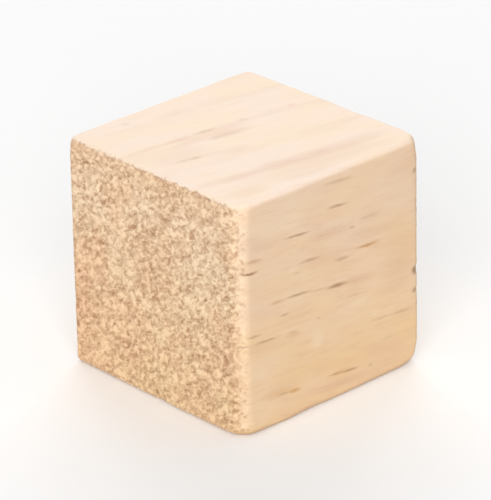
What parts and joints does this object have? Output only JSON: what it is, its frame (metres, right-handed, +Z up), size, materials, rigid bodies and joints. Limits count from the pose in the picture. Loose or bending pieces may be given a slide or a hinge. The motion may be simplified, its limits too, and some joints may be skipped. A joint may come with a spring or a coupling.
{
  "type": "wooden cube",
  "caption": "Solid softwood cube with sanded, softly rounded edges and bare end grain, for stacking, crafts and teaching.",
  "frame": {"origin": "middle of the bottom face, on the surface that the cube stands on", "axes": "+Z up; X along the grain, so the faces across X are end grain; the edge with the small tear-outs is upright, at +X and -Y"},
  "size_m": [0.025, 0.025, 0.025],
  "materials": {
    "pine": "bare sanded softwood, matt, with rough sawn end grain"
  },
  "bodies": {
    "root": {"wooden_cube": "pine"}
  },
  "joints": []
}
